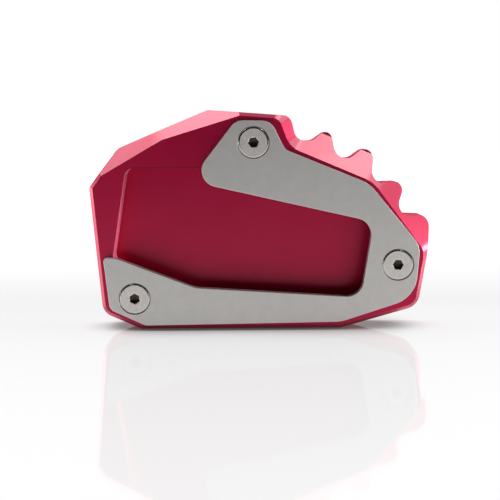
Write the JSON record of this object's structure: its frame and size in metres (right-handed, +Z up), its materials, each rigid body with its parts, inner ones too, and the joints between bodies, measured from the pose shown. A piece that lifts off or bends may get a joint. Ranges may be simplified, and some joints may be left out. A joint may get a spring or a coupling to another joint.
{
  "type": "kickstand foot enlarger",
  "caption": "Bolt-on foot that widens a motorcycle side stand: a milled block with a pocket for the stand's foot, a C-shaped clamp plate and countersunk screws.",
  "frame": {"origin": "centre of the bounding box in x and y, on the plane of the straight lower edge that the part stands on", "axes": "+X to the right along the lower edge with the notched corner on the right, +Z up, -Y towards the clamp plate and the screw heads, +Y towards the face that goes on the ground in use"},
  "size_m": [0.1098, 0.017, 0.0704],
  "materials": {
    "red_anodised": "satin red anodised over a milled surface",
    "plate_steel": "fine-grained stainless plate with deburred edges",
    "screw_steel": "turned stainless"
  },
  "bodies": {
    "root": {"base": "red_anodised", "clamp_plate": "plate_steel", "screw_top": "screw_steel", "screw_right": "screw_steel", "screw_left": "screw_steel"}
  },
  "joints": []
}
